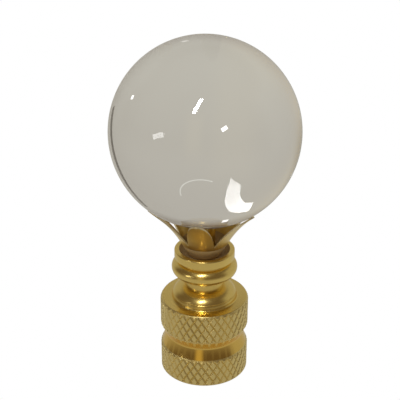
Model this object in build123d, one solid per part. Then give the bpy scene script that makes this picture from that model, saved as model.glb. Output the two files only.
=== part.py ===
from build123d import *
import os
from math import cos, pi, radians, sin, sqrt, tan

# Crystal ball finial: a glass ball held in a petalled brass cup on a turned and knurled brass base.
# Millimetres, +Z up, the underside of the base on z = 0 and every piece centred on the Z axis.

# Glass ball
ball_radius = 15.0
ball_clearance = 0.03
socket_depth = 3.0

# Stud that joins the base, the cup and the ball
stud_radius = 1.75
stud_end_chamfer = 0.3
stud_hole_depth = 5.5
stud_hole_clearance = 0.05
cup_hole_clearance = 0.1
socket_clearance = 0.1
socket_end_gap = 0.2

# Petal cup, pressed from sheet
sheet = 0.25
cup_floor_width = 0.4
cup_bend_radius = 0.5
cup_wall_angle = 28.0
cup_wall_length = 2.45
cup_flare_radius = 22.0
cup_flare_angle = 24.0
cup_bowl_height = 1.2
petal_count = 6
petal_shoulder_width = 4.15
petal_root_width = 4.6
petal_point_length = 7.6
petal_tip_inset = 0.4
petal_cutter_depth = 2.0

# Dish in the top of the base, where the cup stands, and the ring around it
dish_clearance = 0.15
dish_slope_width = 1.05
dish_depth = 0.9
ring_lip_width = 0.78
ring_height = 1.4
ring_edge_round = 0.22

# Notch, bead, neck and dome below the ring
notch_step = 0.35
notch_height = 0.55
bead_section_radius = 1.35
neck_wall = 1.5
neck_cove_radius = 0.8
neck_height = 2.05
dome_radius = 2.2
dome_foot_round = 0.25
dome_line_angle = 24.0
dome_line_radius = 0.1

# Knurled bands and the smooth groove between them
shoulder_width = 1.65
upper_band_height = 5.3
lower_band_height = 4.8
band_edge_height = 0.4
knurl_starts = 36
knurl_angle = 30.0
knurl_depth = 0.2
knurl_run_out = 0.05
groove_depth = 0.6
groove_upper_height = 1.35
groove_lower_height = 1.95
groove_round = 0.5

# Tapped hole in the underside, drawn at the thread's inner diameter
thread_bore_radius = 2.78
thread_bore_depth = 10.0
thread_mouth_chamfer = 0.5
drill_point_angle = 59.0

# Radii that follow, from the stud outwards
stud_hole_radius = stud_radius + stud_hole_clearance
neck_radius = stud_hole_radius + neck_wall
bead_centre_radius = neck_radius + neck_cove_radius
notch_radius = bead_centre_radius + notch_step
dome_foot_radius = neck_radius + dome_radius
shoulder_radius = dome_foot_radius + shoulder_width
band_radius = shoulder_radius + knurl_run_out + knurl_depth
groove_radius = shoulder_radius - groove_depth
cup_hole_radius = stud_radius + cup_hole_clearance
cup_floor_radius = cup_hole_radius + cup_floor_width
cup_outer_bend = cup_bend_radius + sheet
dish_floor_radius = cup_floor_radius + cup_outer_bend + dish_clearance
dish_rim_radius = dish_floor_radius + dish_slope_width
ring_radius = dish_rim_radius + ring_lip_width

# Heights that follow, from the underside upwards
groove_height = lower_band_height + groove_lower_height
upper_band_foot = groove_height + groove_upper_height
shoulder_height = upper_band_foot + upper_band_height
neck_foot = shoulder_height + dome_radius
neck_top = neck_foot + neck_height
bead_height = neck_top + bead_section_radius
notch_foot = bead_height + sqrt(bead_section_radius**2 - notch_step**2)
ring_foot = notch_foot + notch_height
ring_top = ring_foot + ring_height
dish_floor = ring_top - dish_depth
stud_foot = dish_floor - stud_hole_depth


def turned(sketch):
    # A half section drawn as radius and height becomes a body of revolution.
    return revolve(Plane.XZ * sketch, Axis.Z)


def rounded(sketch, radius, corner):
    # One corner of a half section, found by its place, is rounded.
    return fillet(sketch.vertices().sort_by_distance(Vector(*corner))[0], radius)


def upright_cylinder(radius, low, high):
    stock = Cylinder(radius, high - low, align=(Align.CENTER, Align.CENTER, Align.MIN))
    return Pos(0, 0, low) * stock


def knurled_disc(low, high):
    # Crests and valleys alternate around each level and from one level to the next, so the crests
    # stand as diamonds between two crossed sets of helical grooves.
    half_pitch = pi * band_radius / knurl_starts
    rows = max(2, round((high - low) * tan(radians(knurl_angle)) / half_pitch))
    columns = 2 * knurl_starts

    def point(row, column):
        radius = band_radius - knurl_depth * ((row + column) % 2)
        angle = 2 * pi * column / columns
        height = low + (high - low) * row / rows
        return Vector(radius * cos(angle), radius * sin(angle), height)

    faces = []
    for row in range(rows):
        for column in range(columns):
            corners = [point(row, column), point(row, column + 1)]
            corners += [point(row + 1, column + 1), point(row + 1, column)]
            if (row + column) % 2 == 0:
                corners = corners[1:] + corners[:1]
            first, second, third, fourth = corners
            faces.append(Face(Wire.make_polygon([first, second, third])))
            faces.append(Face(Wire.make_polygon([first, third, fourth])))
    for row in (0, rows):
        faces.append(Face(Wire.make_polygon([point(row, column) for column in range(columns)])))
    return Solid(Shell(faces))


def knurl_cutter(low, high):
    # What the knurling takes out of a plain band between two heights.
    return upright_cylinder(2 * band_radius, low, high) - knurled_disc(low, high)


# Base: one turned piece, from the underside up to the dish
dome_middle = (neck_radius + dome_radius * cos(pi / 4), shoulder_height + dome_radius * sin(pi / 4))
cove_start = (neck_radius, neck_top - neck_cove_radius)
bead_start = (bead_centre_radius, neck_top)
bead_crown = (bead_centre_radius + bead_section_radius, bead_height)
base_section = make_face(
    [
        Polyline(
            (0, 0),
            (band_radius, 0),
            (band_radius, lower_band_height - band_edge_height),
            (shoulder_radius, lower_band_height),
            (groove_radius, groove_height),
            (shoulder_radius, upper_band_foot),
            (band_radius, upper_band_foot + band_edge_height),
            (band_radius, shoulder_height - band_edge_height),
            (shoulder_radius, shoulder_height),
            (dome_foot_radius, shoulder_height),
        ),
        ThreePointArc((dome_foot_radius, shoulder_height), dome_middle, (neck_radius, neck_foot)),
        Line((neck_radius, neck_foot), cove_start),
        RadiusArc(cove_start, bead_start, neck_cove_radius),
        ThreePointArc(bead_start, bead_crown, (notch_radius, notch_foot)),
        Polyline(
            (notch_radius, notch_foot),
            (notch_radius, ring_foot),
            (ring_radius, ring_foot),
            (ring_radius, ring_top),
            (dish_rim_radius, ring_top),
        ),
        RadiusArc((dish_rim_radius, ring_top), (dish_floor_radius, dish_floor), dish_slope_width + dish_depth),
        Polyline((dish_floor_radius, dish_floor), (0, dish_floor), (0, 0)),
    ]
)
base_section = rounded(base_section, groove_round, (groove_radius, groove_height))
base_section = rounded(base_section, dome_foot_round, (dome_foot_radius, shoulder_height))
base_section = rounded(base_section, ring_edge_round, (ring_radius, ring_top))
base = turned(base_section)

line_radius = neck_radius + dome_radius * cos(radians(dome_line_angle))
line_height = shoulder_height + dome_radius * sin(radians(dome_line_angle))
base -= turned(Pos(line_radius, line_height) * Circle(dome_line_radius))
base -= knurl_cutter(-band_edge_height, lower_band_height)
base -= knurl_cutter(upper_band_foot, shoulder_height)

drill_point = thread_bore_radius / tan(radians(drill_point_angle))
thread_bore_section = make_face(
    Polyline(
        (0, 0),
        (thread_bore_radius + thread_mouth_chamfer, 0),
        (thread_bore_radius, thread_mouth_chamfer),
        (thread_bore_radius, thread_bore_depth),
        (0, thread_bore_depth + drill_point),
        close=True,
    )
)
base -= turned(thread_bore_section)
base -= upright_cylinder(stud_hole_radius, stud_foot, ring_top)

# Petal cup: a bowl of sheet with a flared wall, cut into petals
cup_floor = Line((cup_hole_radius, dish_floor), (cup_floor_radius, dish_floor))
cup_bend = JernArc(cup_floor @ 1, cup_floor % 1, cup_outer_bend, 90 - cup_wall_angle)
cup_wall = Line(cup_bend @ 1, (cup_bend @ 1) + cup_wall_length * (cup_bend % 1))
cup_flare = JernArc(cup_wall @ 1, cup_wall % 1, cup_flare_radius, -cup_flare_angle)
cup_line = Wire([cup_floor, cup_bend, cup_wall, cup_flare])
cup_blank = turned(make_face(offset(cup_line, sheet, side=Side.LEFT)))

tip_place = 1 - petal_tip_inset / cup_flare.length
tip = cup_flare @ tip_place
petal_run = tip - (cup_wall @ 0)
petal_plane = Plane((0, -tip.X, tip.Y), (1, 0, 0), (0, -petal_run.Y, -petal_run.X))
shoulder = petal_shoulder_width / 2
root = petal_root_width / 2
petal_outline = make_face(
    [
        EllipticalCenterArc((0, -petal_point_length), shoulder, petal_point_length, 0, arc_size=180),
        Polyline(
            (-shoulder, -petal_point_length),
            (-root, -petal_run.length),
            (root, -petal_run.length),
            (shoulder, -petal_point_length),
        ),
    ]
)
petal_cutter = extrude(petal_plane * petal_outline, petal_cutter_depth, both=True)
petal_stock = upright_cylinder(tip.X, dish_floor, dish_floor + cup_bowl_height)
for index in range(petal_count):
    petal_stock += Rot(0, 0, 360 * index / petal_count) * petal_cutter
cup = cup_blank & petal_stock

# Glass ball: it rests on the inner edges of the petal tips
tip_slope = cup_flare % tip_place
seat_radius = tip.X - sheet * tip_slope.Y
seat_height = tip.Y + sheet * tip_slope.X
ball_height = seat_height + sqrt((ball_radius + ball_clearance) ** 2 - seat_radius**2)
ball_foot = ball_height - ball_radius
socket_top = ball_foot + socket_depth
ball = Pos(0, 0, ball_height) * Sphere(ball_radius)
ball -= upright_cylinder(stud_radius + socket_clearance, ball_foot - socket_depth, socket_top)

# Stud: it stands in the base, passes through the cup's floor and ends in the ball
stud = upright_cylinder(stud_radius, stud_foot, socket_top - socket_end_gap)
stud = chamfer(stud.edges().filter_by(GeomType.CIRCLE), stud_end_chamfer)

os.makedirs("parts", exist_ok=True)
export_step(base, "parts/knurled_base.step")
export_step(cup, "parts/petal_cup.step")
export_step(ball, "parts/crystal_ball.step")
export_step(stud, "parts/stud.step")
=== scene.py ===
import bpy
import bmesh
import math
from mathutils import Matrix, Vector


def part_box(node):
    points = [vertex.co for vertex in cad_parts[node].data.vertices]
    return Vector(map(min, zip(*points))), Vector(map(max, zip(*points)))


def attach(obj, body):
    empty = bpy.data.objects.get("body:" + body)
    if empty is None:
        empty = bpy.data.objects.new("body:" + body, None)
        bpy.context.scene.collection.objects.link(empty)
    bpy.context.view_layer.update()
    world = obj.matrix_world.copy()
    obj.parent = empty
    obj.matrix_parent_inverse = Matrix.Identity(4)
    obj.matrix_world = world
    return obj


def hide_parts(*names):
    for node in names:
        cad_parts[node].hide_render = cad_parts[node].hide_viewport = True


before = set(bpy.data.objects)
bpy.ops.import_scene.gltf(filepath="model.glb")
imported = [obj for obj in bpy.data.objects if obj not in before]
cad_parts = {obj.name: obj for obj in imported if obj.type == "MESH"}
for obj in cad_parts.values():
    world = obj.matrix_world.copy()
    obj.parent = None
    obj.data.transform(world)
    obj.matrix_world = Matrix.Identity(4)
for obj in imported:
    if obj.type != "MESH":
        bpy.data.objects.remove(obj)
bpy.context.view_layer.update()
mm = 0.001
print("frame loaded:", sorted(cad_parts))


def hexToLinear(text):
    channels = [int(text[i:i + 2], 16) / 255 for i in (1, 3, 5)]
    return [c / 12.92 if c <= 0.04045 else ((c + 0.055) / 1.055) ** 2.4 for c in channels] + [1.0]


def addNode(tree, kind, settings=None, inputs=None, links=None):
    node = tree.nodes.new(kind)
    for name, value in (settings or {}).items():
        setattr(node, name, value)
    for name, value in (inputs or {}).items():
        node.inputs[name].default_value = value
    for name, source in (links or {}).items():
        tree.links.new(source, node.inputs[name])
    return node


def newMaterial(name):
    material = bpy.data.materials.new(name)
    material.use_nodes = True
    tree = material.node_tree
    tree.nodes.clear()
    return material, tree


# lead crystal, ground and polished: clear all through, a strong bend and a bright rim
crystal = {"name": "polishedCrystalGlass", "tint": "#FFFFFF", "roughness": 0.0, "ior": 1.52}


def makeCrystal():
    material, tree = newMaterial(crystal["name"])
    shader = addNode(tree, "ShaderNodeBsdfPrincipled", inputs={
        "Base Color": hexToLinear(crystal["tint"]),
        "Roughness": crystal["roughness"],
        "IOR": crystal["ior"],
        "Transmission Weight": 1.0,
    })
    addNode(tree, "ShaderNodeOutputMaterial", links={"Surface": shader.outputs[0]})
    return material


# turned and polished brass: a soft mirror, brown where it sees the dark and yellow where it sees a lamp
turnedBrass = {"name": "polishedTurnedBrass", "color": "#EBD07C", "roughness": 0.26}
# knurled brass: rolled and not polished afterwards, so its diamonds stay an even satin
knurledBrass = {"name": "satinKnurledBrass", "color": "#E6D28E", "roughness": 0.4}
# pressed brass sheet: a satin that evens out what the petals reflect
pressedBrass = {"name": "satinPressedBrass", "color": "#E0C67E", "roughness": 0.28}
# the sheared edges of the petals: bare metal, bright under the lamp, with its colour lightened nearly to
# white as a painted highlight along the edges
cutEdgeHighlight = {"name": "paleCutEdgeHighlight", "color": "#FFF4D0", "roughness": 0.5}
# the groove is turned with a finer cut: a truer mirror, so it goes from brown to a bright yellow streak
grooveBrass = {"name": "mirrorTurnedBrass", "color": "#E8C468", "roughness": 0.14}
# the dish and the cup's lower bowl: rougher and less metallic, and their brown is painted shade, darker where
# the petals and the ball shade them
dishAndShadeBrass = {"name": "dullDishShadeBrass", "color": "#C8AF80", "roughness": 0.6, "metallic": 0.25}


def makeBrass(finish):
    material, tree = newMaterial(finish["name"])
    shader = addNode(tree, "ShaderNodeBsdfPrincipled", inputs={
        "Base Color": hexToLinear(finish["color"]),
        "Metallic": finish.get("metallic", 1.0),
        "Roughness": finish["roughness"],
    })
    addNode(tree, "ShaderNodeOutputMaterial", links={"Surface": shader.outputs[0]})
    return material


crystalGlass = makeCrystal()
polishedBrass = makeBrass(turnedBrass)
satinBrass = makeBrass(knurledBrass)
sheetBrass = makeBrass(pressedBrass)
edgeHighlightBrass = makeBrass(cutEdgeHighlight)
dullShadedBrass = makeBrass(dishAndShadeBrass)
mirrorBrass = makeBrass(grooveBrass)
print("materials ready")

# a half section is drawn with a pen: radius along X, height along Z, in millimetres
axisWeld = 0.0005  # what comes this close on the axis is one point


def startPen(radius, height):
    bm = bmesh.new()
    return bm, bm.verts.new((radius * mm, 0, height * mm))


def lineTo(bm, pen, radius, height, cuts=0):
    start = pen.co.copy()
    end = Vector((radius * mm, 0, height * mm))
    for step in range(1, cuts + 2):
        pen = bmesh.ops.extrude_vert_indiv(bm, verts=[pen])["verts"][0]
        pen.co = start.lerp(end, step / (cuts + 1))
    return pen


def arcTo(bm, pen, radius, height, turn, steps):
    swept = bmesh.ops.spin(bm, geom=[pen], cent=(radius * mm, 0, height * mm), axis=(0, 1, 0),
                           angle=math.radians(turn), steps=steps)  # a positive turn is clockwise
    return next(part for part in swept["geom_last"] if isinstance(part, bmesh.types.BMVert))


def cornerTo(bm, pen, corner, onward, rounding, steps):
    corner, onward = Vector(corner), Vector(onward)
    towards = (corner - Vector((pen.co.x, pen.co.z)) / mm).normalized()
    turn = towards.angle_signed((onward - corner).normalized())
    start = corner - towards * rounding * math.tan(abs(turn) / 2)
    middle = start + Vector((towards.y, -towards.x)) * math.copysign(rounding, turn)
    pen = lineTo(bm, pen, start.x, start.y)
    return arcTo(bm, pen, middle.x, middle.y, math.degrees(turn), steps)


def turnProfile(bm, steps):
    bmesh.ops.spin(bm, geom=bm.verts[:] + bm.edges[:], cent=(0, 0, 0), axis=(0, 0, 1),
                   angle=2 * math.pi, steps=steps, use_merge=True)
    bmesh.ops.remove_doubles(bm, verts=bm.verts[:], dist=axisWeld * mm)
    bmesh.ops.recalc_face_normals(bm, faces=bm.faces[:])


def meshObject(name, bm, materials):
    mesh = bpy.data.meshes.new(name)
    bm.to_mesh(mesh)
    bm.free()
    for material in materials:
        mesh.materials.append(material)
    return bpy.data.objects.new(name, mesh)


def finishPiece(name, bm, materials, replaced=None, sharpAngle=30):
    for face in bm.faces:
        face.smooth = True
    for edge in bm.edges:  # an open edge stays crisp when the sheet gets its thickness
        edge.smooth = not edge.is_boundary and edge.calc_face_angle(0) < math.radians(sharpAngle)
    piece = meshObject(name, bm, materials)
    bpy.context.scene.collection.objects.link(piece)
    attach(piece, "root")
    if replaced:
        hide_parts(replaced)
    print(name, len(piece.data.polygons), "faces")
    return piece


# glass ball with the socket for the stud in its underside
ball = {"radius": 15.0, "socketRadius": 1.85, "socketDepth": 3.0, "arcSteps": 120, "spinSteps": 240}


def makeBall():
    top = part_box("crystal_ball")[1].z / mm
    middle = top - ball["radius"]
    mouth = math.degrees(math.asin(ball["socketRadius"] / ball["radius"]))
    socketTop = middle - ball["radius"] + ball["socketDepth"]
    bm, pen = startPen(0, top)
    pen = arcTo(bm, pen, 0, middle, 180 - mouth, ball["arcSteps"])
    pen = lineTo(bm, pen, ball["socketRadius"], socketTop)
    lineTo(bm, pen, 0, socketTop)
    turnProfile(bm, ball["spinSteps"])
    finishPiece("crystalBall", bm, [crystalGlass], "crystal_ball")


makeBall()

# turned base, from the drill point in the tapped hole round to the bottom of the stud's hole
base = {
    "threadRoot": 3.12, "boreDepth": 10.0, "drillPoint": 59.0, "mouthRadius": 3.28,
    "bandRadius": 7.4, "shoulderRadius": 7.15, "grooveRadius": 6.55, "bandEdge": 0.4, "grooveRound": 0.5,
    "lowerBand": 4.8, "grooveLow": 1.95, "grooveHigh": 1.35, "upperBand": 5.3,
    "neckRadius": 3.3, "domeRadius": 2.2, "domeFootRound": 0.25, "domeLineAngle": 24.0, "domeLineRadius": 0.1,
    "neckHeight": 2.05, "coveRadius": 0.8, "beadRadius": 1.35, "notchStep": 0.35, "notchHeight": 0.55,
    "ringRadius": 4.98, "ringHeight": 1.4, "ringRound": 0.22, "ringLip": 0.78,
    "dishFloorRadius": 3.15, "dishSlope": 1.05, "dishDepth": 0.9, "bowlShare": 0.97,
    "studHoleRadius": 1.8, "studHoleDepth": 5.5, "edgeRound": 0.06, "rimRound": 0.15,
    "skin": 0.01, "levelNormal": 0.95, "sharpAngle": 25,  # slack, and what counts as level and as sharp
    "steps": {
        "undersideCuts": 3, "groove": 8, "rim": 4, "domeFoot": 6, "belowLine": 5, "domeLine": 6, "dome": 16,
        "neckCuts": 2, "cove": 8, "bead": 24, "notch": 2, "ringFoot": 3, "ringTop": 6, "lip": 3, "bowl": 10,
    },
}
# diamond knurl: two crossed sets of grooves, with a flat left on each diamond
knurl = {"starts": 36, "rows": 5, "depth": 0.18, "grooveShare": 0.18, "lowerFoot": -0.4, "stepsPerCell": 6,
         "footFade": 0.35, "leastRise": 0.001}

# heights and radii of the base that follow from its settings
baseSteps = base["steps"]
grooveHeight = base["lowerBand"] + base["grooveLow"]
upperFoot = grooveHeight + base["grooveHigh"]
shoulder = upperFoot + base["upperBand"]
neckTop = shoulder + base["domeRadius"] + base["neckHeight"]
beadMiddle = base["neckRadius"] + base["coveRadius"]
beadHeight = neckTop + base["beadRadius"]
notchRadius = beadMiddle + base["notchStep"]
notchFoot = beadHeight + math.sqrt(base["beadRadius"] ** 2 - base["notchStep"] ** 2)
ringFoot = notchFoot + base["notchHeight"]
ringTop = ringFoot + base["ringHeight"]
dishRim = base["ringRadius"] - base["ringLip"]
dishFloor = ringTop - base["dishDepth"]


def knurlRadius(angle, height, foot, top):
    across = angle / math.pi * knurl["starts"]
    along = (height - foot) / (top - foot) * knurl["rows"]
    nearest = min(abs((across + along) / 2 % 1 - 0.5), abs((across - along) / 2 % 1 - 0.5))
    depth = knurl["depth"] * min(1, height / knurl["footFade"])
    return base["bandRadius"] - depth * (1 - min(1, nearest / knurl["grooveShare"]))


def bandTo(bm, pen, foot, top):
    # a bevelled band, with a level wherever two grooves may cross a line of the mesh
    edge, run = base["bandEdge"], base["bandRadius"] - base["shoulderRadius"]
    count = knurl["rows"] * knurl["stepsPerCell"]
    levels = [foot + (top - foot) * step / count for step in range(count)] + [foot + edge, top - edge]
    for level in sorted(level for level in levels if level > pen.co.z / mm + knurl["leastRise"]):
        inset = max(0, 1 - (level - foot) / edge, 1 - (top - level) / edge)
        pen = lineTo(bm, pen, base["bandRadius"] - run * inset, level)
    return pen


def drawGrip():
    # the tapped hole, the underside, and the two bands with the groove between them
    grooveFloor, upperEdge = (base["grooveRadius"], grooveHeight), (base["shoulderRadius"], upperFoot)
    bm, pen = startPen(0, base["boreDepth"] + base["threadRoot"] / math.tan(math.radians(base["drillPoint"])))
    pen = lineTo(bm, pen, base["threadRoot"], base["boreDepth"])
    pen = lineTo(bm, pen, base["threadRoot"], base["mouthRadius"] - base["threadRoot"])
    pen = lineTo(bm, pen, base["mouthRadius"], 0)
    pen = lineTo(bm, pen, base["bandRadius"], 0, baseSteps["undersideCuts"])
    pen = bandTo(bm, pen, knurl["lowerFoot"], base["lowerBand"])
    pen = lineTo(bm, pen, base["shoulderRadius"], base["lowerBand"])
    pen = cornerTo(bm, pen, grooveFloor, upperEdge, base["grooveRound"], baseSteps["groove"])
    pen = lineTo(bm, pen, *upperEdge)
    return bm, bandTo(bm, pen, upperFoot, shoulder)


def drawDome(bm, pen):
    # the dome's foot is rounded into the shoulder, and a fine line runs round the dome
    neck, dome, footRound = base["neckRadius"], base["domeRadius"], base["domeFootRound"]
    footRise = math.degrees(math.asin(footRound / (dome + footRound)))
    footReach = neck + (dome + footRound) * math.cos(math.radians(footRise))
    lineHalf = math.degrees(2 * math.asin(base["domeLineRadius"] / (2 * dome)))
    lineAngle = math.radians(base["domeLineAngle"])
    lineMiddle = neck + dome * math.cos(lineAngle)
    lineHeight = shoulder + dome * math.sin(lineAngle)
    rim = (base["shoulderRadius"], shoulder)
    pen = cornerTo(bm, pen, rim, (footReach, shoulder), base["rimRound"], baseSteps["rim"])
    pen = lineTo(bm, pen, footReach, shoulder)
    pen = arcTo(bm, pen, footReach, shoulder + footRound, 90 - footRise, baseSteps["domeFoot"])
    pen = arcTo(bm, pen, neck, shoulder, footRise + lineHalf - base["domeLineAngle"], baseSteps["belowLine"])
    pen = arcTo(bm, pen, lineMiddle, lineHeight, 180 - lineHalf, baseSteps["domeLine"])
    return arcTo(bm, pen, neck, shoulder, base["domeLineAngle"] + lineHalf - 90, baseSteps["dome"])


def drawRing(bm, pen):
    # the neck opens into a cove under the bead, and the ring stands on a notch above it
    coveHeight = neckTop - base["coveRadius"]
    beadTurn = 90 + math.degrees(math.acos(base["notchStep"] / base["beadRadius"]))
    lowerEdge, upperEdge = (base["ringRadius"], ringFoot), (base["ringRadius"], ringTop)
    pen = lineTo(bm, pen, base["neckRadius"], coveHeight, baseSteps["neckCuts"])
    pen = arcTo(bm, pen, beadMiddle, coveHeight, 90, baseSteps["cove"])
    pen = arcTo(bm, pen, beadMiddle, beadHeight, -beadTurn, baseSteps["bead"])
    pen = cornerTo(bm, pen, (notchRadius, ringFoot), lowerEdge, base["edgeRound"], baseSteps["notch"])
    pen = cornerTo(bm, pen, lowerEdge, upperEdge, base["edgeRound"], baseSteps["ringFoot"])
    return cornerTo(bm, pen, upperEdge, (dishRim, ringTop), base["ringRound"], baseSteps["ringTop"])


def drawDish(bm, pen):
    # the dish is hollowed to a bowl's curve between the ring's lip and its flat floor
    lip = Vector((dishRim, ringTop))
    bowl = base["dishSlope"] + base["dishDepth"]
    half = Vector((base["dishSlope"], base["dishDepth"])) / 2
    middle = lip - half
    middle += Vector((-half.y, half.x)).normalized() * math.sqrt(bowl ** 2 - half.length_squared)
    turn = math.degrees(2 * math.asin(half.length / bowl))
    downhill = Vector((ringTop - middle.y, middle.x - dishRim)).normalized() * base["edgeRound"]
    holeFloor = dishFloor - base["studHoleDepth"]
    pen = cornerTo(bm, pen, lip, lip + downhill, base["edgeRound"], baseSteps["lip"])
    # the lip's rounding has taken up a little of the curve
    pen = arcTo(bm, pen, middle.x, middle.y, turn * base["bowlShare"], baseSteps["bowl"])
    pen = lineTo(bm, pen, base["dishFloorRadius"], dishFloor)
    pen = lineTo(bm, pen, base["studHoleRadius"], dishFloor)
    pen = lineTo(bm, pen, base["studHoleRadius"], holeFloor)
    lineTo(bm, pen, 0, holeFloor)


def rollKnurl(bm):
    # what stands proud on a band is pressed in to the knurl, and the points touched are given back
    flank = (base["shoulderRadius"] + base["skin"]) * mm
    grip = set()
    for vert in bm.verts:
        radius = math.hypot(vert.co.x, vert.co.y)
        for foot, top in ((knurl["lowerFoot"], base["lowerBand"]), (upperFoot, shoulder)):
            if radius > flank and foot * mm <= vert.co.z <= top * mm:
                wanted = knurlRadius(math.atan2(vert.co.y, vert.co.x), vert.co.z / mm, foot, top) * mm
                shrink = min(1, wanted / radius)
                vert.co.x *= shrink
                vert.co.y *= shrink
                grip.add(vert)
    bm.normal_update()
    return grip


def makeBase():
    bm, pen = drawGrip()
    pen = drawDome(bm, pen)
    pen = drawRing(bm, pen)
    drawDish(bm, pen)
    turnProfile(bm, 2 * knurl["starts"] * knurl["stepsPerCell"])
    grip = rollKnurl(bm)
    finishes = [polishedBrass, satinBrass, dullShadedBrass, mirrorBrass]
    rolled = []
    for face in bm.faces:
        middle = face.calc_center_median() / mm
        radius = math.hypot(middle.x, middle.y)
        finish = polishedBrass
        if abs(face.normal.z) < base["levelNormal"] and any(vert in grip for vert in face.verts):
            finish = satinBrass
            rolled.append(face)
        # the dish gets the dull brown, which is painted shade
        elif middle.z > dishFloor - base["skin"] and radius < dishRim:
            finish = dullShadedBrass
        elif base["lowerBand"] < middle.z < upperFoot and radius > base["neckRadius"]:
            finish = mirrorBrass
        face.material_index = finishes.index(finish)
    bmesh.ops.triangulate(bm, faces=rolled, quad_method="SHORT_EDGE")
    finishPiece("knurledBase", bm, finishes, "knurled_base", base["sharpAngle"])


makeBase()

# lamp thread in the bore, 27 turns to the inch, right-handed
thread = {"crest": 2.79, "root": 3.16, "pitch": 25.4 / 27, "crestHalf": 0.06, "rootHalf": 0.38,
          "foot": 0.62, "turns": 9, "stepsPerTurn": 48}


def makeThread():
    foot, steps = thread["foot"], thread["stepsPerTurn"]
    bm, pen = startPen(thread["root"], foot - thread["rootHalf"])
    first = pen
    pen = lineTo(bm, pen, thread["crest"], foot - thread["crestHalf"])
    pen = lineTo(bm, pen, thread["crest"], foot + thread["crestHalf"])
    pen = lineTo(bm, pen, thread["root"], foot + thread["rootHalf"])
    bm.edges.new((pen, first))
    bmesh.ops.contextual_create(bm, geom=bm.edges[:])
    bmesh.ops.spin(bm, geom=bm.verts[:] + bm.edges[:] + bm.faces[:], cent=(0, 0, 0), axis=(0, 0, 1),
                   dvec=(0, 0, thread["pitch"] * mm / steps),
                   angle=2 * math.pi * thread["turns"], steps=steps * thread["turns"])
    bmesh.ops.recalc_face_normals(bm, faces=bm.faces[:])
    finishPiece("harpThread", bm, [polishedBrass])


makeThread()

# petal cup, pressed from sheet: one petal's share is shaped from a grid and turned round six times
cup = {
    "sheet": 0.25, "holeRadius": 1.85, "floorWidth": 0.4, "bend": 0.75, "wallAngle": 28.0, "wallLength": 2.45,
    "flareRadius": 22.0, "flareAngle": 24.0, "tipInset": 0.4, "petals": 6, "shoulderHalf": 2.075,
    "rootHalf": 2.3, "pointLength": 7.6, "columns": 24, "rows": 96, "tipCrowding": 2.0, "weld": 0.002,
    "shadedBowlHeight": 2.3,
}


def cupPoint(run):
    # radius and height of the cup's outer face, at a distance along it from the stud's hole
    wallAngle = math.radians(cup["wallAngle"])
    radius = cup["holeRadius"] + min(run, cup["floorWidth"])
    run = max(0, run - cup["floorWidth"])
    bent = min(run / cup["bend"], math.pi / 2 - wallAngle)
    radius += cup["bend"] * math.sin(bent)
    height = cup["bend"] * (1 - math.cos(bent))
    run -= cup["bend"] * bent
    straight = min(run, cup["wallLength"])
    flared = wallAngle + (run - straight) / cup["flareRadius"]
    radius += straight * math.sin(wallAngle) + cup["flareRadius"] * (math.cos(wallAngle) - math.cos(flared))
    height += straight * math.cos(wallAngle) + cup["flareRadius"] * (math.sin(flared) - math.sin(wallAngle))
    return Vector((radius, height))


def petalHalf(fromTip, length):
    # half of a petal's width: an ellipse at the point, then straight flanks down to the root
    widest, point = cup["shoulderHalf"], cup["pointLength"]
    if fromTip < point:
        return widest * math.sqrt(max(0, 1 - (1 - fromTip / point) ** 2))
    flank = (fromTip - point) / (length - point)
    return widest + (cup["rootHalf"] - widest) * flank


def makeCup():
    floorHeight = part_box("petal_cup")[0].z
    wallStart = cup["floorWidth"] + cup["bend"] * math.radians(90 - cup["wallAngle"])
    flare = cup["flareRadius"] * math.radians(cup["flareAngle"])
    whole = wallStart + cup["wallLength"] + flare - cup["tipInset"]
    tip = cupPoint(whole)
    chord = cupPoint(wallStart) - tip
    bm = bmesh.new()
    bmesh.ops.create_grid(bm, x_segments=cup["columns"], y_segments=cup["rows"], size=1)
    for vert in bm.verts:
        rise = (vert.co.y + 1) / 2
        point = cupPoint(whole * (1 - (1 - rise) ** cup["tipCrowding"]))
        half = petalHalf((point - tip).dot(chord.normalized()), chord.length)
        reach = math.asin(min(math.sin(math.pi / cup["petals"]), half / point.x))
        angle = vert.co.x * reach - math.pi / 2
        vert.co = (point.x * mm * math.cos(angle), point.x * mm * math.sin(angle), floorHeight + point.y * mm)
    others = cup["petals"] - 1
    bmesh.ops.spin(bm, geom=bm.verts[:] + bm.edges[:] + bm.faces[:], cent=(0, 0, 0), axis=(0, 0, 1),
                   angle=2 * math.pi * others / cup["petals"], steps=others, use_duplicate=True)
    bmesh.ops.remove_doubles(bm, verts=bm.verts[:], dist=cup["weld"] * mm)
    bmesh.ops.recalc_face_normals(bm, faces=bm.faces[:])
    lowest = min(bm.faces, key=lambda face: face.calc_center_median().z)
    if lowest.normal.z > 0:
        bmesh.ops.reverse_faces(bm, faces=bm.faces[:])
    finishes = [sheetBrass, edgeHighlightBrass, dullShadedBrass]
    for face in bm.faces:
        # the cup's lower bowl gets the dull brown as painted shade under the petals
        if face.calc_center_median().z < floorHeight + cup["shadedBowlHeight"] * mm:
            face.material_index = finishes.index(dullShadedBrass)
    piece = finishPiece("petalCup", bm, finishes, "petal_cup")
    sheet = piece.modifiers.new("sheet", "SOLIDIFY")
    sheet.thickness = cup["sheet"] * mm
    sheet.offset = -1  # the thickness goes inwards
    # the rim of the sheet gets the near-white edge colour, a painted highlight
    sheet.material_offset_rim = finishes.index(edgeHighlightBrass)


makeCup()

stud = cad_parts["stud"]
stud.data.materials.clear()
stud.data.materials.append(polishedBrass)
print("stud in brass")

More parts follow.
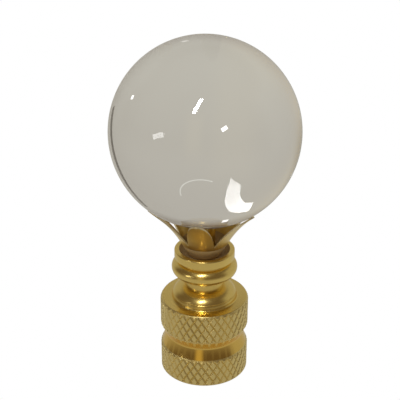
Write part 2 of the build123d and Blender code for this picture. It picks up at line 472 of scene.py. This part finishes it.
# studio: a white sweep for the camera, a grey room round it for the glass and the brass
# each turn is a pair of cosines, between which one tone of the room gives way to the next
studio = {
    "floorSize": 4.0, "sweep": "#FFFFFF", "front": (-0.208, -0.978, 0.0), "frontTurn": (-0.35, 0.1),
    "behindLow": "#C2BFB4", "behindHigh": "#B6B2A8", "behindTurn": (-0.95, 0.2),
    "table": "#B8B3AA", "ahead": "#6C5E50", "aheadTurn": (-0.4, 0.12),
    "ceiling": "#6C5E50", "ceilingTurn": (0.5, 0.78),
    "strip": "#CDB985", "stripAcross": (0.996, -0.087, 0.0), "stripTurn": (0.26, 0.04),
}


def makeFloor():
    # only the camera sees the floor, and only from above, so the underside can be looked at
    material, tree = newMaterial("paleStudioFloor")
    path = addNode(tree, "ShaderNodeLightPath")
    side = addNode(tree, "ShaderNodeNewGeometry")
    above = addNode(tree, "ShaderNodeMath", {"operation": "SUBTRACT"}, links={
        0: path.outputs["Is Camera Ray"], 1: side.outputs["Backfacing"]})
    seen = addNode(tree, "ShaderNodeEmission", inputs={"Color": hexToLinear(studio["sweep"])})
    clear = addNode(tree, "ShaderNodeBsdfTransparent")
    mix = addNode(tree, "ShaderNodeMixShader", links={
        0: above.outputs[0], 1: clear.outputs[0], 2: seen.outputs[0]})
    addNode(tree, "ShaderNodeOutputMaterial", links={"Surface": mix.outputs[0]})
    bm = bmesh.new()
    bmesh.ops.create_grid(bm, x_segments=1, y_segments=1, size=studio["floorSize"] / 2)
    floor = meshObject("floor", bm, [material])
    bpy.context.scene.collection.objects.link(floor)


def blend(tree, value, turn, first, second):
    # each tone is a hex colour or the outcome of another blend
    low, high = turn
    share = addNode(tree, "ShaderNodeMapRange", {"interpolation_type": "SMOOTHSTEP"}, {
        "From Min": low, "From Max": high}, {"Value": value})
    mix = addNode(tree, "ShaderNodeMix", {"data_type": "RGBA"}, links={0: share.outputs["Result"]})
    for socket, tone in ((mix.inputs[6], first), (mix.inputs[7], second)):  # the two colours of the mix
        if isinstance(tone, str):
            socket.default_value = hexToLinear(tone)
        else:
            tree.links.new(tone, socket)
    return mix.outputs[2]


def makeRoom():
    world = bpy.data.worlds.new("studioRoom")
    bpy.context.scene.world = world
    world.use_nodes = True
    tree = world.node_tree
    tree.nodes.clear()
    path = addNode(tree, "ShaderNodeLightPath")
    way = addNode(tree, "ShaderNodeTexCoord").outputs["Generated"]
    height = addNode(tree, "ShaderNodeSeparateXYZ", links={0: way}).outputs["Z"]
    product = {"operation": "DOT_PRODUCT"}
    facing = addNode(tree, "ShaderNodeVectorMath", product, {1: studio["front"]}, {0: way})
    across = addNode(tree, "ShaderNodeVectorMath", product, {1: studio["stripAcross"]}, {0: way})
    aside = addNode(tree, "ShaderNodeMath", {"operation": "ABSOLUTE"}, links={0: across.outputs["Value"]})
    behind = blend(tree, height, studio["behindTurn"], studio["behindLow"], studio["behindHigh"])
    front = blend(tree, aside.outputs[0], studio["stripTurn"], studio["ahead"], studio["strip"])
    ahead = blend(tree, height, studio["aheadTurn"], studio["table"], front)
    around = blend(tree, facing.outputs["Value"], studio["frontTurn"], behind, ahead)
    around = blend(tree, height, studio["ceilingTurn"], around, studio["ceiling"])
    seen = addNode(tree, "ShaderNodeBackground", inputs={"Color": hexToLinear(studio["sweep"])})
    room = addNode(tree, "ShaderNodeBackground", links={"Color": around})
    mix = addNode(tree, "ShaderNodeMixShader", links={
        0: path.outputs["Is Camera Ray"], 1: room.outputs[0], 2: seen.outputs[0]})
    addNode(tree, "ShaderNodeOutputWorld", links={"Surface": mix.outputs[0]})


makeFloor()
makeRoom()

# lamps stand round the ball: degrees from the front and above its middle, sizes and distance in mm
# the sparks are small lamps behind it, which show through the glass as points of light
lamps = {
    "mainSoftbox": {"azimuth": -4.5, "elevation": 49.3, "distance": 400, "roll": -20,
                    "size": (28, 132), "radiance": 41},
    "sideLamp": {"azimuth": -46.7, "elevation": 8.5, "distance": 400, "roll": 25,
                 "size": (95, 36), "radiance": 6.5},
    "leftSpark": {"azimuth": 154.9, "elevation": -30.7, "distance": 79, "roll": 0,
                  "size": (2.6, 2.2), "radiance": 1},
    "rightSpark": {"azimuth": -166.5, "elevation": -21.6, "distance": 110, "roll": -30,
                   "size": (3.4, 2.0), "radiance": 1.2},
    "footSpark": {"azimuth": -160.7, "elevation": 28.6, "distance": 116, "roll": 0,
                  "size": (6, 9), "radiance": 1.1},
}
# a narrow dark card behind and to the right draws the dark line along the ball's left edge
flag = {"azimuth": 134.0, "elevation": 4.0, "distance": 150, "roll": -25, "size": (17, 170),
        "color": "#56524A"}
# a bent strip of light behind the ball shows as the thin arc low in the glass
hoop = {"azimuth": -175.1, "elevation": 3.7, "distance": 80, "roll": 0, "middle": (3.0, -7.0), "radius": 9.4,
        "width": 0.5, "from": 168, "turn": 130, "steps": 32, "color": "#D6D5CC"}


def aimFrom(azimuth, elevation):
    a, e = math.radians(azimuth), math.radians(elevation)
    return Vector((math.sin(a) * math.cos(e), -math.cos(a) * math.cos(e), math.sin(e)))


def lookAlong(back, roll):
    ahead = (-back).to_track_quat("-Z", "Y").to_matrix()
    return (ahead @ Matrix.Rotation(math.radians(roll), 3, "Z")).to_euler()


def standRound(thing, place):
    target = Vector((0, 0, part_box("crystal_ball")[1].z - ball["radius"] * mm))
    back = aimFrom(place["azimuth"], place["elevation"])
    thing.location = target + back * place["distance"] * mm
    thing.rotation_euler = lookAlong(back, place["roll"])
    thing.visible_camera = False
    bpy.context.scene.collection.objects.link(thing)


def makeLamps():
    for name, lamp in lamps.items():
        data = bpy.data.lights.new(name, "AREA")
        data.shape = "RECTANGLE"
        data.size, data.size_y = (side * mm for side in lamp["size"])
        data.energy = lamp["radiance"] * math.pi * data.size * data.size_y
        standRound(bpy.data.objects.new(name, data), lamp)


def makeFlag():
    material, tree = newMaterial("darkVelvet")
    shader = addNode(tree, "ShaderNodeBsdfDiffuse", inputs={"Color": hexToLinear(flag["color"])})
    addNode(tree, "ShaderNodeOutputMaterial", links={"Surface": shader.outputs[0]})
    wide, high = flag["size"]
    bm = bmesh.new()
    bmesh.ops.create_grid(bm, x_segments=1, y_segments=1, size=0.5)
    bmesh.ops.scale(bm, vec=(wide * mm, high * mm, 1), verts=bm.verts[:])
    card = meshObject("blackFlag", bm, [material])
    card.visible_glossy = False
    standRound(card, flag)


def makeHoop():
    material, tree = newMaterial("hoopGlow")
    glow = addNode(tree, "ShaderNodeEmission", inputs={"Color": hexToLinear(hoop["color"])})
    addNode(tree, "ShaderNodeOutputMaterial", links={"Surface": glow.outputs[0]})
    middle = Vector((*hoop["middle"], 0))
    start = Vector((1, 0, 0))
    start.rotate(Matrix.Rotation(math.radians(hoop["from"]), 3, "Z"))
    radii = [hoop["radius"] + side * hoop["width"] / 2 for side in (-1, 1)]
    bm = bmesh.new()
    ends = [bm.verts.new((middle + start * radius) * mm) for radius in radii]
    edge = bm.edges.new(ends)
    bmesh.ops.spin(bm, geom=ends + [edge], cent=middle * mm, axis=(0, 0, 1),
                   angle=math.radians(hoop["turn"]), steps=hoop["steps"])
    strip = meshObject("hoopLight", bm, [material])
    strip.visible_glossy = False
    standRound(strip, hoop)


makeFlag()
makeHoop()
makeLamps()
print("studio ready")

# camera at the photograph's angle: the focal length and the image's size are in pixels
view = {
    "elevation": 25.173, "azimuth": 8.0, "distance": 140.0, "aim": 30.955, "focal": 873.0, "imageSize": 400.0,
    "roll": 0.26, "shiftX": -0.012, "sensor": 36.0, "clipStart": 10,
}


def makeCamera():
    data = bpy.data.cameras.new("photoCamera")
    data.sensor_width = view["sensor"]
    data.lens = view["sensor"] * view["focal"] / view["imageSize"]
    data.shift_x = view["shiftX"]
    data.clip_start = view["clipStart"] * mm
    camera = bpy.data.objects.new("photoCamera", data)
    bpy.context.scene.collection.objects.link(camera)
    back = aimFrom(view["azimuth"], view["elevation"])
    camera.location = Vector((0, 0, view["aim"] * mm)) + back * view["distance"] * mm
    camera.rotation_euler = lookAlong(back, view["roll"])
    bpy.context.scene.camera = camera


makeCamera()
bpy.context.scene.view_settings.view_transform = "Standard"
print("camera ready")
